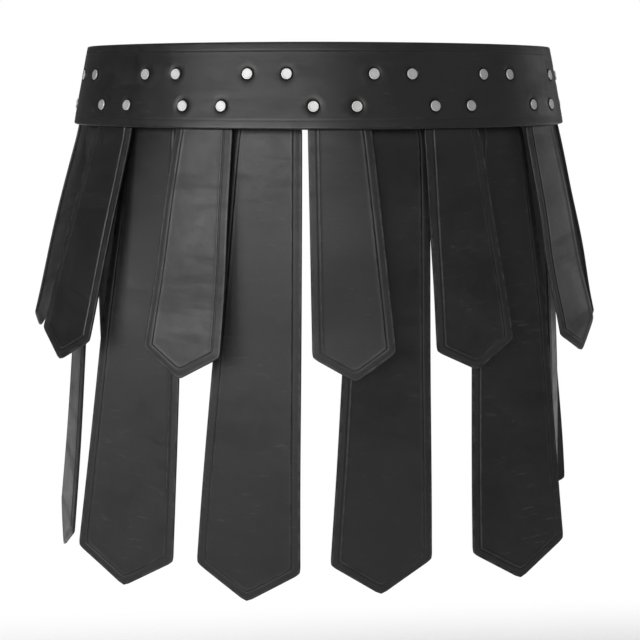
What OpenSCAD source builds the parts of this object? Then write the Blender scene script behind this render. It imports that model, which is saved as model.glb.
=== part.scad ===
// Leather war belt: a sloped waist band with nine short outer straps and eight long inner
// straps riveted behind it, closed at the back by two buckled straps.
// Millimetres. +Z is up, -Y is the front, and the origin is the middle of the waist
// opening at half the height of the band.

/* [Band] */
// Height of the band, from its top edge to its bottom edge
band_h = 64; // [58:1:70]
// Thickness of the band leather
band_t = 3.6; // [3:0.1:4.4]
// Slope of the band, which is wider towards its bottom edge, in degrees
band_slope = 12.5; // [8:0.5:14]
// Radius of the band's outer face across the front and the back
front_r = 231; // [226:1:245]
// Radius of the band's outer face round each hip
hip_r = 109; // [105:1:114]
// Opening between the two band ends at the back
back_gap = 84; // [80:1:96]
// Plain stretch from a band end to the middle of the last short strap
plain_end = 143; // [136:1:150]
// Radius of the band's four end corners
end_corner = 9; // [4:1:14]

/* [Short straps] */
// Width of a short strap where it comes out under the band
short_top_w = 48; // [42:1:52]
// Width of a short strap at its lower corners
short_low_w = 65; // [56:1:70]
// Length of a short strap from the band to its lower corners
short_len = 169; // [140:1:190]
// Depth of a short strap's pointed end
short_point = 20; // [12:1:28]
// Thickness of a short strap
short_t = 3; // [2.6:0.1:3.4]
// Usual outward hang of a short strap from the vertical, in degrees
short_hang = 12; // [10:0.5:14]

/* [Long straps] */
// Width of a long strap where it comes out under the band
long_top_w = 55; // [50:1:57]
// Width of a long strap at its lower corners
long_low_w = 85; // [76:1:88]
// Length of a long strap from the band to its lower corners
long_len = 343; // [300:1:360]
// Depth of a long strap's pointed end
long_point = 27; // [18:1:34]
// Thickness of a long strap
long_t = 3; // [2.6:0.1:3.4]
// Usual outward hang of a long strap from the vertical, in degrees
long_hang = 4; // [3:0.5:5]
// Blunt width of the tip of every strap
tip_w = 3; // [2:0.5:6]

/* [Rivets] */
// Diameter of a rivet cap
cap_d = 8; // [7:0.1:8.6]
// Thickness of a rivet cap
cap_t = 1.3; // [1:0.1:1.6]
// Outer diameter of a rivet post
post_d = 3.6; // [3:0.1:4]
// Diameter of the pin on a rivet cap
pin_d = 1.9; // [1.6:0.1:2.1]
// Half of the distance between the two rivets of a short strap
short_rivet_half = 16; // [13:0.5:16]
// Half of the distance between the two rivets of a long strap
long_rivet_half = 15; // [12:0.5:16]
// Drop of the lower rivet row below half height
short_rivet_drop = 15; // [13:0.5:16]
// Rise of the upper rivet row above half height
long_rivet_rise = 8.6; // [8:0.2:11]

/* [Closing straps] */
// Width of a closing strap
tie_w = 20; // [18:0.5:22]
// Thickness of a billet
billet_t = 2.5; // [2.2:0.1:2.8]
// Thickness of one ply of a chape
ply_t = 2; // [1.8:0.1:2.2]
// Height of a closing strap's middle above or below half height
tie_rise = 16; // [14:0.5:17]
// Overlap of a chape or a billet on its band end
tie_lap = 40; // [36:1:44]
// Distance from a band end to the first closing rivet
tie_rivet = 11; // [9:0.5:14]
// Distance between the two rivets of a closing strap
tie_rivet_step = 17; // [14:0.5:20]
// Distance from the band end to the buckle's rear bar
bar_reach = 24; // [23:0.5:26]
// Distance between the buckle's two bars
frame_len = 26.4; // [25:0.2:28]
// Diameter of the buckle's wire
wire_d = 3.2; // [3:0.1:3.4]
// Outer diameter of the buckle's roller
roller_d = 5.2; // [5:0.1:5.6]
// Thickness of the buckle's prong
prong_t = 2.4; // [2:0.1:2.6]
// Distance between the holes of a billet
hole_step = 22; // [20:1:26]
// Length of the billet's free tail past the buckle's rear bar
tail_len = 78; // [70:1:84]
// Thickness of a keeper loop
keeper_t = 1.6; // [1.4:0.1:1.8]
// Width of a keeper loop
keeper_w = 8; // [7:0.5:9]

/* [Clearances] */
// Gap between two layers of leather
layer_gap = 0.3; // [0.2:0.05:0.4]
// Extra depth of the long straps behind the short ones, below the lower rivets
tuck = 4; // [3.6:0.1:5]
// Gap above the top of a hanging strap
hinge_gap = 0.45; // [0.35:0.05:0.6]
// Running clearance round a buckle's bars, on the radius
bar_clear = 0.05; // [0.03:0.01:0.08]
// Clearance of a rivet in its hole, on the radius
rivet_clear = 0.1; // [0.05:0.05:0.2]
// Side room of a strap in its buckle and in its keeper
side_room = 0.6; // [0.5:0.1:0.9]

/* [Hidden] */
$fn = 96;
deg = 180 / PI;
slope_run = tan(band_slope);
slope_cos = cos(band_slope);

// The waist oval: arcs of front_r across the front and the back, arcs of hip_r round the hips.
// The arcs meet on lines of slope 3 to 4.
front_half = atan2(4, 3);
hip_cx = (front_r - hip_r) * 0.8;
front_cy = (front_r - hip_r) * 0.6;
front_len = front_r * front_half / deg;
hip_len = hip_r * (180 - 2 * front_half) / deg;
half_len = 2 * front_len + hip_len;
band_end = half_len - back_gap / 2;
far_end = 2 * half_len - band_end;

// Each arc: centre x, centre y, radius, first place, last place, facing angle at the first,
// and the two directions in plan that bound it
arcs = [
    [0, -front_cy, front_r, -half_len, -front_len - hip_len, -180, [0, 1], [-0.8, 0.6]],
    [-hip_cx, 0, hip_r, -front_len - hip_len, -front_len, front_half - 180,
        [-0.8, 0.6], [-0.8, -0.6]],
    [0, front_cy, front_r, -front_len, front_len, -front_half, [-0.8, -0.6], [0.8, -0.6]],
    [hip_cx, 0, hip_r, front_len, front_len + hip_len, front_half, [0.8, -0.6], [0.8, 0.6]],
    [0, -front_cy, front_r, front_len + hip_len, half_len + front_len, 180 - front_half,
        [0.8, 0.6], [-0.8, 0.6]]
];

// Reach of the outlines and cutters that pass through every layer or past the whole part
through_t = 70;
past_all = 500;
drill_out = 12;
drill_len = 30;
corner_spare = 1;
corner_ease = 0.15;

// The strap pattern, spread evenly from the front centre
short_count = 9;
long_count = 8;
strap_pitch = (band_end - plain_end) / ((short_count - 1) / 2);

// How each strap was laid by hand: sideways shift in mm, then in degrees the hang added to the
// usual one, the lean to the side and the turn of the lower end. Front straps as photographed.
short_lay = [
    [0, 1, 1, 0], [-8, 3.5, -1, 0], [1.5, 5.5, -1.5, 0], [-2, -2, -2.5, -2], [6.5, -8, 3.5, 5],
    [0.5, -8, 6, 14], [9, 0.5, 3, 0], [0, 0, -1, 0], [0, 1, -1, 0]
];
long_lay = [
    [-4, -6, 0, 0], [1, 2, -1, 8], [-5, 3, -1, -17], [-1.5, 0.5, -2.2, 1], [-0.5, -1.8, -1.3, 3],
    [10, 2.6, -1.3, 22], [1, -1, 1, -4], [0, 1, -1, 0]
];
// Lengths over which a strap takes up its lean and its turn
lean_run = 30;
turn_run = 150;
// Sideways shift of each rivet pair from the even pattern
short_rivet_shift = [0, 0, 6, -2.7, 2.7, 0, 9.2, 0, 0];
long_rivet_shift = [0, 5, 5.5, -0.4, -0.4, -1.2, 1, 0];

// Layers behind the band, counted inwards from its outer face
first_layer = band_t + layer_gap;
short_axis_depth = first_layer + short_t / 2;
second_layer = first_layer + short_t + layer_gap + tuck;
long_axis_depth = second_layer + long_t / 2;
hole_d = post_d + 2 * rivet_clear;
pin_clear = 0.1;
post_bore = pin_d + pin_clear;

// Heights of the strap roots behind the band
root_edge = 9.4;
long_root_spare = 3;
short_root_top = -short_rivet_drop + root_edge;
long_root_top = long_rivet_rise + root_edge + long_root_spare;
step_clear = 0.4;
step_rise = 8;
step_low = short_root_top + step_clear;
step_high = step_low + step_rise;
shoulder = 9;
short_root_side = 2;
long_root_side = 5;
short_root_w = 2 * (short_rivet_half + cap_d / 2 + short_root_side);
long_root_w = strap_pitch - 2 * (short_rivet_half + cap_d / 2 + long_root_side);
root_corner = 4;

// The closing straps at the back, as places along the oval
ply_gap = 0.2;
loop_ease = 0.05;
bar_s = band_end + bar_reach;
bar_hole = wire_d / 2 + bar_clear + loop_ease;
chape_t = 2 * ply_t + ply_gap;
bar_level = chape_t + layer_gap - bar_hole - ply_t;
cap_room = cap_t + ply_gap;
tie_level = layer_gap + chape_t + cap_room;
line_start = 11;
line_s = far_end - line_start;
near_r = front_r + layer_gap;
far_r = front_r + tie_level;
bend_r = 25;
line_len = sqrt(pow(far_r - bend_r, 2) - pow(near_r - bend_r, 2));
bend_turn = atan2(line_len, near_r - bend_r);
frame_tilt = 10.2;
rail_in = tie_w / 2 + side_room;
wire_turn = 3;
bar_w = 2 * (rail_in + wire_d / 2 - wire_turn);
cross_level = 3.9;
tie_drop = sin(band_slope) * cross_level;
prong_w = 3;
prong_slot = prong_w + 1;
prong_hole_reach = 11.4;
prong_hole_len = 8;
keeper_reach = 6.5;
keeper_s = band_end + keeper_reach;
keeper_lift = 0.35;
chape_flat_end = 11;
billet_corner = [14, 30, 9];

function arc_at(s) = [for (a = arcs) if (s <= a[4]) a][0];
function facing(s) = let (a = arc_at(s)) a[5] + (s - a[3]) / a[2] * deg;
function spot(s, out, z) =
    let (a = arc_at(s), f = facing(s), r = a[2] + out)
    [a[0] + r * sin(f), a[1] - r * cos(f), z];
function short_s(i) = (i - 1 - (short_count - 1) / 2) * strap_pitch;
function long_s(i) = (i - 1 - (long_count - 1) / 2) * strap_pitch;
function face_out(depth, z) = -depth - slope_run * z;

// Cross-section of a sloped layer, as outward distance and height
function layer(depth, t, z0, z1) = [
    [face_out(depth, z0), z0], [face_out(depth, z1), z1],
    [face_out(depth + t, z1), z1], [face_out(depth + t, z0), z0]
];

// A cross-section turned all the way round the centre of one arc
module ring(section, a) {
    translate([a[0], a[1], 0])
    rotate([0, 0, a[0] > 0 ? 180 : 0])
    rotate_extrude()
    translate([a[2], 0])
    polygon(section);
}

// Direction in plan from the centre of an arc to a place, no further than the arc's ends
function toward(s, a) =
    s <= a[3] ? a[6] : s >= a[4] ? a[7] : [sin(facing(s)), -cos(facing(s))];

// Sweeps a cross-section along the oval between two places
module along(section, s0, s1) {
    for (a = arcs)
        if (min(s1, a[4]) > max(s0, a[3]))
            intersection() {
                ring(section, a);
                translate([a[0], a[1], 0])
                linear_extrude(height = 2 * band_h, center = true)
                polygon([[0, 0], past_all * toward(s0, a), past_all * toward(s1, a)]);
            }
}

// Local frame on the band's outer face: x along the band, y inwards, z up the slope
module on_band(s, z) {
    translate(spot(s, face_out(0, z), z))
    rotate([0, 0, facing(s)])
    rotate([-band_slope, 0, 0])
    children();
}

// Local frame beside the band, upright: x along the band, y inwards, z up
module beside(s) {
    translate(spot(s, 0, 0))
    rotate([0, 0, facing(s)])
    children();
}

// An outline in x and z, made a block through every layer
module through(points) {
    rotate([90, 0, 0])
    linear_extrude(height = through_t, center = true)
    polygon(points);
}

// A round hole through every layer at a place on the band
module hole(s, z, d) {
    on_band(s, z)
    translate([0, -drill_out, 0])
    rotate([-90, 0, 0])
    cylinder(d = d, h = drill_len);
}

// Holes of one strap's rivet pair
module hole_pair(s, half, z) {
    for (side = [-1, 1])
        hole(s + side * half, z, hole_d);
}

module short_holes(i) {
    hole_pair(short_s(i) + short_rivet_shift[i - 1], short_rivet_half, -short_rivet_drop);
}

module long_holes(i) {
    hole_pair(long_s(i) + long_rivet_shift[i - 1], long_rivet_half, long_rivet_rise);
}

// Places of the closing rivets, as place and height
function tie_rivets(up) = [
    for (j = [0, 1], side = [-1, 1])
        [side < 0 ? band_end - tie_rivet - j * tie_rivet_step
                  : far_end + tie_rivet + j * tie_rivet_step, up * tie_rise]
];

// What is cut off one end corner of the band, seen square to it
module corner_waste(s, side, up) {
    beside(s)
    translate([0, 0, up * band_h / 2])
    rotate([90, 0, 0])
    linear_extrude(height = through_t, center = true)
    difference() {
        translate([side > 0 ? -end_corner : -corner_spare, up > 0 ? -end_corner : -corner_spare])
        square(end_corner + corner_spare);
        translate([-side * end_corner, -up * end_corner])
        circle(r = end_corner + corner_ease);
    }
}

// The waist band, one strip of leather open at the back
module band() {
    color("#262626")
    difference() {
        along(layer(0, band_t, -band_h / 2, band_h / 2), -band_end, band_end);
        for (i = [1 : short_count]) short_holes(i);
        for (i = [1 : long_count]) long_holes(i);
        for (up = [-1, 1], p = tie_rivets(up))
            hole(p[0] > half_len ? p[0] - 2 * half_len : p[0], p[1], hole_d);
        for (up = [-1, 1]) {
            corner_waste(band_end, 1, up);
            corner_waste(-band_end, -1, up);
        }
    }
}

// Outline of a strap root, from the strap's full width up to its narrower top, which is
// centred on the rivets by the shift aside
function root_outline(w, root_w, top, aside) = let (h = root_w / 2, c = root_corner) [
    [-w / 2, -band_h], [w / 2, -band_h], [w / 2, 1 - band_h / 2],
    [aside + h, shoulder - band_h / 2], [aside + h, top - c],
    [aside + h - c, top + 0.01], [aside + c - h, top + 0.01],
    [aside - h, top - c], [aside - h, shoulder - band_h / 2], [-w / 2, 1 - band_h / 2]
];

// The riveted top of a short strap, against the inside of the band
module short_root(i) {
    s = short_s(i) + short_lay[i - 1][0];
    aside = short_rivet_shift[i - 1] - short_lay[i - 1][0];
    color("#2b2b2b")
    difference() {
        intersection() {
            along(layer(first_layer, short_t, -band_h / 2, short_root_top),
                s - short_top_w, s + short_top_w);
            beside(s)
            through(root_outline(short_top_w, short_root_w, short_root_top, aside));
        }
        short_holes(i);
    }
}

// Cross-section of a long root: against the band at the top, stepped in below it
long_section = [
    [face_out(second_layer, -band_h / 2), -band_h / 2],
    [face_out(second_layer, step_low), step_low],
    [face_out(first_layer, step_high), step_high],
    [face_out(first_layer, long_root_top), long_root_top],
    [face_out(first_layer + long_t, long_root_top), long_root_top],
    [face_out(first_layer + long_t, step_high - 1), step_high - 1],
    [face_out(second_layer + long_t, step_low - 1), step_low - 1],
    [face_out(second_layer + long_t, -band_h / 2), -band_h / 2]
];

// The riveted top of a long strap
module long_root(i) {
    s = long_s(i) + long_lay[i - 1][0];
    aside = long_rivet_shift[i - 1] - long_lay[i - 1][0];
    color("#2b2b2b")
    difference() {
        intersection() {
            along(long_section, s - long_top_w, s + long_top_w);
            beside(s)
            through(root_outline(long_top_w, long_root_w, long_root_top, aside));
        }
        long_holes(i);
    }
}

// Rows of a hanging strap: distance below its hinge line, width and thickness
function strap_rows(w0, w1, len, point, t) = concat(
    [[-t / 2, w0, 0.43 * t], [-0.22 * t, w0, t]],
    [for (h = [0, lean_run, 2 * lean_run, turn_run * 2 / 3, turn_run])
        [h, w0 + (w1 - w0) * h / len, t]],
    [for (j = [1 : 3]) let (h = turn_run + (len - turn_run) * j / 3)
        [h, w0 + (w1 - w0) * h / len, t]],
    [[len + point, tip_w, t]]
);

// Four corners of one row, which leans and turns by its share of the whole
function strap_row(row, lean, turn) =
    let (
        h = max(row[0], 0),
        up = min(row[0], 0),
        a = lean * min(1, h / lean_run),
        b = turn * min(1, h / turn_run),
        mid = [h * sin(lean), 0, -h * cos(lean) - up],
        across = [cos(b) * cos(a), -sin(b), cos(b) * sin(a)] * row[1] / 2,
        face = [-sin(b), -cos(b), 0] * row[2] / 2
    )
    [mid - across + face, mid + across + face, mid + across - face, mid - across - face];

// A flat tapered strap with a pointed end, hanging down from its hinge line
module hanging_strap(rows, lean, turn) {
    points = [for (row = rows) each strap_row(row, lean, turn)];
    last = 4 * (len(rows) - 1);
    sides = [
        for (i = [0 : len(rows) - 2], j = [0 : 3])
            let (p = 4 * i + j, q = 4 * i + (j + 1) % 4)
            each [[p, q, q + 4], [p, q + 4, p + 4]]
    ];
    ends = [[0, 2, 1], [0, 3, 2], [last, last + 1, last + 2], [last, last + 2, last + 3]];
    polyhedron(points, concat(sides, ends));
}

// Puts a strap's hinge line just under the band's bottom edge
module hang(s, depth, t, angle) {
    z = -band_h / 2 - t / 2 - hinge_gap;
    translate(spot(s, face_out(depth, z), z))
    rotate([0, 0, facing(s)])
    rotate([-angle, 0, 0])
    children();
}

module short_strap(i) {
    lay = short_lay[i - 1];
    rows = strap_rows(short_top_w, short_low_w, short_len, short_point, short_t);
    color("#333333")
    hang(short_s(i) + lay[0], short_axis_depth, short_t, short_hang + lay[1])
    hanging_strap(rows, lay[2], lay[3]);
}

module long_strap(i) {
    lay = long_lay[i - 1];
    rows = strap_rows(long_top_w, long_low_w, long_len, long_point, long_t);
    color("#2e2e2e")
    hang(long_s(i) + lay[0], long_axis_depth, long_t, long_hang + lay[1])
    hanging_strap(rows, lay[2], lay[3]);
}

// One rivet cap with its pin, on a surface that lies out from the band by lift
module rivet_cap(s, z, lift, depth) {
    on_band(s, z)
    translate([0, -lift, 0])
    rotate([-90, 0, 0])
    translate([0, 0, -cap_t])
    rotate_extrude()
    polygon([
        [0, 0], [cap_d / 2 - 0.7, 0], [cap_d / 2 - 0.2, 0.3], [cap_d / 2, 0.8],
        [cap_d / 2, cap_t], [pin_d / 2, cap_t], [pin_d / 2, cap_t + depth], [0, cap_t + depth]
    ]);
}

// One rivet post with its flange on the inside
module rivet_post(s, z, lift, depth) {
    on_band(s, z)
    translate([0, -lift, 0])
    rotate([-90, 0, 0])
    rotate_extrude()
    polygon([
        [post_bore / 2, 0.3], [post_d / 2, 0.3], [post_d / 2, depth], [cap_d / 2 - 0.2, depth],
        [cap_d / 2 - 0.2, depth + 0.6], [cap_d / 2 - 0.7, depth + 1.1], [0, depth + 1.1],
        [0, depth - 0.4], [post_bore / 2, depth - 0.4]
    ]);
}

strap_stack = (first_layer + short_t) * slope_cos + 0.2;
long_stack = (first_layer + long_t) * slope_cos + 0.2;
seat = 0.05;

module short_rivets(part) {
    color("#c4c4c4")
    for (i = [1 : short_count], side = [-1, 1]) {
        s = short_s(i) + short_rivet_shift[i - 1] + side * short_rivet_half;
        if (part == "caps") rivet_cap(s, -short_rivet_drop, seat, strap_stack - 1);
        if (part == "posts") rivet_post(s, -short_rivet_drop, seat, strap_stack + seat);
    }
}

module long_rivets(part) {
    color("#c4c4c4")
    for (i = [1 : long_count], side = [-1, 1]) {
        s = long_s(i) + long_rivet_shift[i - 1] + side * long_rivet_half;
        if (part == "caps") rivet_cap(s, long_rivet_rise, seat, long_stack - 1);
        if (part == "posts") rivet_post(s, long_rivet_rise, seat, long_stack + seat);
    }
}

// Height above the band's outer face of what a closing rivet clamps
chape_top = (layer_gap + chape_t) * slope_cos;
billet_top = (layer_gap + billet_t) * slope_cos;
band_back = band_t * slope_cos + 0.2;

module closing_rivets(part) {
    color("#c4c4c4")
    for (up = [-1, 1], p = tie_rivets(up)) {
        lift = (p[0] > half_len ? billet_top : chape_top) + seat;
        if (part == "caps") rivet_cap(p[0], p[1], lift, lift + band_back - 1);
        if (part == "posts") rivet_post(p[0], p[1], lift, lift + band_back);
    }
}

// Local frame at the middle of a buckle's rear bar
module at_bar(up) {
    on_band(bar_s, up * tie_rise)
    translate([0, -bar_level * slope_cos, -tie_drop])
    children();
}

// A folded chape: two plies riveted to the band end, looped round the buckle's rear bar
module chape(up) {
    z0 = up * tie_rise - tie_w / 2 * slope_cos;
    z1 = up * tie_rise + tie_w / 2 * slope_cos;
    loop_r = bar_hole + ply_t;
    flat_end = bar_s - chape_flat_end;
    color("#262626")
    difference() {
        union() {
            along(layer(-chape_t - layer_gap, chape_t, z0, z1),
                band_end - tie_lap, flat_end);
            at_bar(up) {
                cylinder(r = loop_r, h = bar_w, center = true);
                linear_extrude(height = bar_w, center = true)
                polygon([
                    [0, -loop_r], [-11.4, -loop_r + 0.1], [-11.4, 0.35], [-10.4, 0.35],
                    [-loop_r * 0.5, loop_r * 0.87], [0, 0]
                ]);
            }
        }
        at_bar(up) {
            cylinder(r = bar_hole, h = tie_w + 4, center = true);
            translate([-loop_r - 2, -loop_r - 1, -prong_slot / 2])
            cube([2 * loop_r + 4, 2 * loop_r + 2, prong_slot]);
        }
        for (p = tie_rivets(up)) if (p[0] < half_len) hole(p[0], p[1], hole_d);
    }
}

// A bent corner of the buckle's wire, from the end of a bar to the start of a rail
module wire_corner(r) {
    rotate_extrude(angle = 90)
    translate([r, 0])
    circle(d = wire_d, $fn = 48);
}

// The buckle: two bars joined by two side rails, one closed ring of round wire
module buckle(up) {
    half = rail_in + wire_d / 2;
    color("#b8b8b8")
    at_bar(up)
    rotate([0, 0, -frame_tilt]) {
        for (x = [0, frame_len])
            translate([x, 0, wire_turn - half])
            cylinder(d = wire_d, h = 2 * (half - wire_turn), $fn = 48);
        for (side = [-1, 1]) {
            translate([wire_turn, 0, side * half])
            rotate([0, 90, 0])
            cylinder(d = wire_d, h = frame_len - 2 * wire_turn, $fn = 48);
            translate([wire_turn, 0, side * (half - wire_turn)])
            rotate([side > 0 ? 90 : -90, 0, 0])
            rotate([0, 0, 90])
            wire_corner(wire_turn);
            translate([frame_len - wire_turn, 0, side * (half - wire_turn)])
            rotate([side > 0 ? 90 : -90, 0, 0])
            wire_corner(wire_turn);
        }
    }
}

// The roller on the buckle's front bar
module roller(up) {
    color("#c0c0c0")
    at_bar(up)
    rotate([0, 0, -frame_tilt])
    translate([frame_len, 0, 0])
    difference() {
        cylinder(d = roller_d, h = bar_w - 2 * layer_gap, center = true);
        cylinder(d = wire_d + 2 * bar_clear, h = bar_w + 2, center = true);
    }
}

// The prong: its eye turns on the rear bar, and it passes up through the billet
module prong(up) {
    eye_r = bar_hole - 0.05 + 1.5;
    top = -sin(frame_tilt) * frame_len - roller_d / 2 - 0.15;
    reach = frame_len + 3;
    t = prong_t;
    color("#b8b8b8")
    at_bar(up)
    difference() {
        union() {
            cylinder(r = eye_r, h = prong_w, center = true);
            linear_extrude(height = prong_w, center = true)
            polygon([
                [0, eye_r - 0.4], [8.6, 0.9], [10.4, -0.4], [16.2, top + 0.1], [reach - 1, top],
                [reach, top - 0.5 * t], [reach - 0.8, top - 0.9 * t], [15, top - t],
                [14, top - 0.9 * t], [8, -1.2], [0, -1.5]
            ]);
        }
        cylinder(d = wire_d + 2 * bar_clear, h = prong_w + 2, center = true);
    }
}

// Local frame at the centre of the back arc, with x towards a place on it
module back_centre(s) {
    translate([0, -front_cy, 0])
    rotate([0, 0, facing(s) - 90])
    children();
}

// Cross-section of a billet on a curve of radius r, drawn in by a hair where asked
function billet_section(r, z0, z1, hair = 0) = [
    [r + hair - slope_run * z0, z0 + hair], [r + billet_t - hair - slope_run * z0, z0 + hair],
    [r + billet_t - hair - slope_run * z1, z1 - hair], [r + hair - slope_run * z1, z1 - hair]
];

// A prong hole, lengthwise along the billet
module prong_hole(s, z) {
    on_band(s, z)
    translate([0, 2, -tie_drop])
    rotate([90, 0, 0])
    linear_extrude(height = 16)
    union() {
        for (x = [-1, 1])
            translate([x * (prong_hole_len - prong_slot) / 2, 0])
            circle(d = prong_slot, $fn = 48);
        square([prong_hole_len - prong_slot, prong_slot], center = true);
    }
}

// The billet: along the far band end, straight across the opening, then over the chape
module billet(up) {
    z0 = up * tie_rise - tie_w / 2 * slope_cos;
    z1 = up * tie_rise + tie_w / 2 * slope_cos;
    lap = (far_end + tie_lap - line_s) / front_r * deg;
    tail = (line_s - bar_s + tail_len) / front_r * deg;
    color("#262626")
    difference() {
        back_centre(line_s) {
            rotate_extrude(angle = lap)
            polygon(billet_section(near_r, z0, z1));
            rotate([90, 0, 0])
            linear_extrude(height = line_len)
            polygon(billet_section(near_r, z0, z1));
            translate([near_r - bend_r, -line_len, 0])
            mirror([0, 1, 0])
            rotate_extrude(angle = bend_turn)
            polygon(billet_section(bend_r, z0, z1));
            rotate([0, 0, 0.1 - bend_turn])
            mirror([0, 1, 0])
            rotate_extrude(angle = tail - bend_turn)
            polygon(billet_section(far_r, z0, z1, 0.04));
        }
        for (p = tie_rivets(up)) if (p[0] > half_len) hole(p[0], p[1], hole_d);
        for (j = [-1 : 3])
            prong_hole(bar_s + prong_hole_reach - j * hole_step, up * tie_rise);
        for (side = [-1, 1])
            on_band(bar_s - tail_len, up * tie_rise)
            translate([0, 0, side * (tie_w / 2 + 1) - sin(band_slope) * tie_level])
            rotate([0, side * 45, 0])
            cube(billet_corner, center = true);
    }
}

// The keeper loop round the chape and the billet
module keeper(up) {
    top = tie_level + billet_t;
    high = top * slope_cos + keeper_lift;
    low = layer_gap * slope_cos - keeper_lift;
    wide = tie_w + sin(band_slope) * top + 2 * side_room;
    color("#262626")
    on_band(keeper_s, up * tie_rise)
    translate([0, 0, -sin(band_slope) * top / 2])
    difference() {
        translate([-keeper_w / 2, -high - keeper_t, -wide / 2 - keeper_t])
        cube([keeper_w, high - low + 2 * keeper_t, wide + 2 * keeper_t]);
        translate([-keeper_w, -high, -wide / 2])
        cube([2 * keeper_w, high - low, wide]);
    }
}

band();
for (i = [1 : short_count]) {
    short_root(i);
    short_strap(i);
}
for (i = [1 : long_count]) {
    long_root(i);
    long_strap(i);
}
short_rivets("caps");  // short_rivet_caps
short_rivets("posts");  // short_rivet_posts
long_rivets("caps");  // long_rivet_caps
long_rivets("posts");  // long_rivet_posts
for (up = [-1, 1]) {
    tie = up > 0 ? "upper" : "lower";
    chape(up);
    buckle(up);
    roller(up);
    prong(up);
    billet(up);
    keeper(up);
}
closing_rivets("caps");  // closing_rivet_caps
closing_rivets("posts");  // closing_rivet_posts
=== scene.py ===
import math

import bpy
import numpy as np
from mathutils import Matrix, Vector


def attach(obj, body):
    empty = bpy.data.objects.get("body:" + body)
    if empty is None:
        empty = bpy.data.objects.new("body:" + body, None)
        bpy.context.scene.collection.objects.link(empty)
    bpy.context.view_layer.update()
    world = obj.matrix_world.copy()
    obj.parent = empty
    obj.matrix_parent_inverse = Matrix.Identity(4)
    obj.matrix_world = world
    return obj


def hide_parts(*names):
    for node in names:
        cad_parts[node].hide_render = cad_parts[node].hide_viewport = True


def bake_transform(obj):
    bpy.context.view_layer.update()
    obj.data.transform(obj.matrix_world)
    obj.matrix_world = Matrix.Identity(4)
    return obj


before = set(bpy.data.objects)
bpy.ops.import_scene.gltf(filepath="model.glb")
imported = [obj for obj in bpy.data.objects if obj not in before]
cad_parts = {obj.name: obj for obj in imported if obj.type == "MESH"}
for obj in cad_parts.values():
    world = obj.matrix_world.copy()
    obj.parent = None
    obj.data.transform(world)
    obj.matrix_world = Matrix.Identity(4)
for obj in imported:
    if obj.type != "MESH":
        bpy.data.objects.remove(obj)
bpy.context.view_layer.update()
mm = 0.001

# The waist oval, sizes in mm and degrees.
oval = {
    "frontRadius": 231.0,    # outer face at half height, front and back
    "hipRadius": 109.0,      # outer face at half height, hips
    "slope": 12.5,           # the band is wider towards its bottom edge
    "height": 64.0,
    "thickness": 3.6,
    "backGap": 84.0,         # opening between the band ends
    "plainEnd": 143.0,       # band end to the middle of the last short strap
    "endCorner": 9.0,        # radius of the band's end corners
}
arcHalf = math.atan2(4, 3)    # half the angle of the front arc, with sine 0.8 and cosine 0.6
slope = math.radians(oval["slope"])
frontLength = oval["frontRadius"] * arcHalf
hipLength = oval["hipRadius"] * (math.pi - 2 * arcHalf)
halfLength = 2 * frontLength + hipLength
bandEnd = halfLength - oval["backGap"] / 2
strapPitch = (bandEnd - oval["plainEnd"]) / 4
hipCentre = (oval["frontRadius"] - oval["hipRadius"]) * 0.8
frontCentre = (oval["frontRadius"] - oval["hipRadius"]) * 0.6


def facingAt(s):
    # Angle of the outward direction from the front: arc length over radius, added arc by arc.
    q = np.abs(s)
    onFront = q / oval["frontRadius"]
    onHip = arcHalf + (q - frontLength) / oval["hipRadius"]
    onBack = math.pi - arcHalf + (q - frontLength - hipLength) / oval["frontRadius"]
    angle = np.where(q <= frontLength, onFront, np.where(q <= frontLength + hipLength, onHip, onBack))
    return np.where(np.asarray(s) < 0, -angle, angle)


def spotAt(s, out, z):
    # Point beside the band: its arc's centre plus radius and outward distance along the facing.
    s = np.asarray(s, float)
    q = np.abs(s)
    angle = facingAt(q)
    onHip = (q > frontLength) & (q <= frontLength + hipLength)
    onBack = q > frontLength + hipLength
    reach = np.where(onHip, oval["hipRadius"], oval["frontRadius"]) + out
    x = np.where(onHip, hipCentre, 0.0) + reach * np.sin(angle)
    y = np.where(onHip, 0.0, np.where(onBack, -frontCentre, frontCentre)) - reach * np.cos(angle)
    return np.stack([np.where(s < 0, -x, x), y, z + 0 * x], -1)


def faceOut(depth, z):
    # Outward distance of a layer: minus its depth, minus the slope times the height.
    return -depth - math.tan(slope) * z


def smooth(t):
    # Smoothstep: 3 t squared less 2 t cubed, with t held between 0 and 1.
    t = np.clip(t, 0, 1)
    return t * t * (3 - 2 * t)


def cornerInset(radius, away):
    # Inset of a rounded corner: the radius less the height of its quarter circle at that distance.
    return radius - np.sqrt(np.clip(radius * radius - np.clip(radius - away, 0, radius) ** 2, 0, None))


# Leather as closed slabs

leather = {
    "round": 1.3,         # radius of the burnished edges, mm
    "creaseAt": 6.6,      # distance of the creased line from the edge, mm
    "creaseWide": 0.6,    # half width of the creased line, mm
    "creaseDeep": 0.5,    # depth of the creased line, mm
    "fall": 0.8,          # how far the border beyond the crease falls off towards the edge, mm
    "ridge": 0.45,        # raised line inside the crease, as a share of its depth
    "ridgeAt": 1.2,       # distance of the raised line from the crease, mm
    "ridgeWide": 0.7,     # half width of the raised line, mm
}
# Distances from the edge at which a grid has lines, mm.
edgeSteps = [0, 0.25, 0.7, 1.3, 2.6, 4.6, 5.7, 6.2, 6.6, 7.0, 7.4, 7.9, 8.5, 9.3, 10.6]
# How far the grain moves from piece to piece and from side to side, metres.
grainShift = {"along": 0.37, "side": 0.2, "through": 0.11}


def edgeProfile(d, t):
    # Half thickness: a quarter circle over the edge radius, then flat.
    share = np.clip(d / leather["round"], 0, 1)
    return t / 2 * np.sqrt(1 - (1 - share) ** 2)


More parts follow.
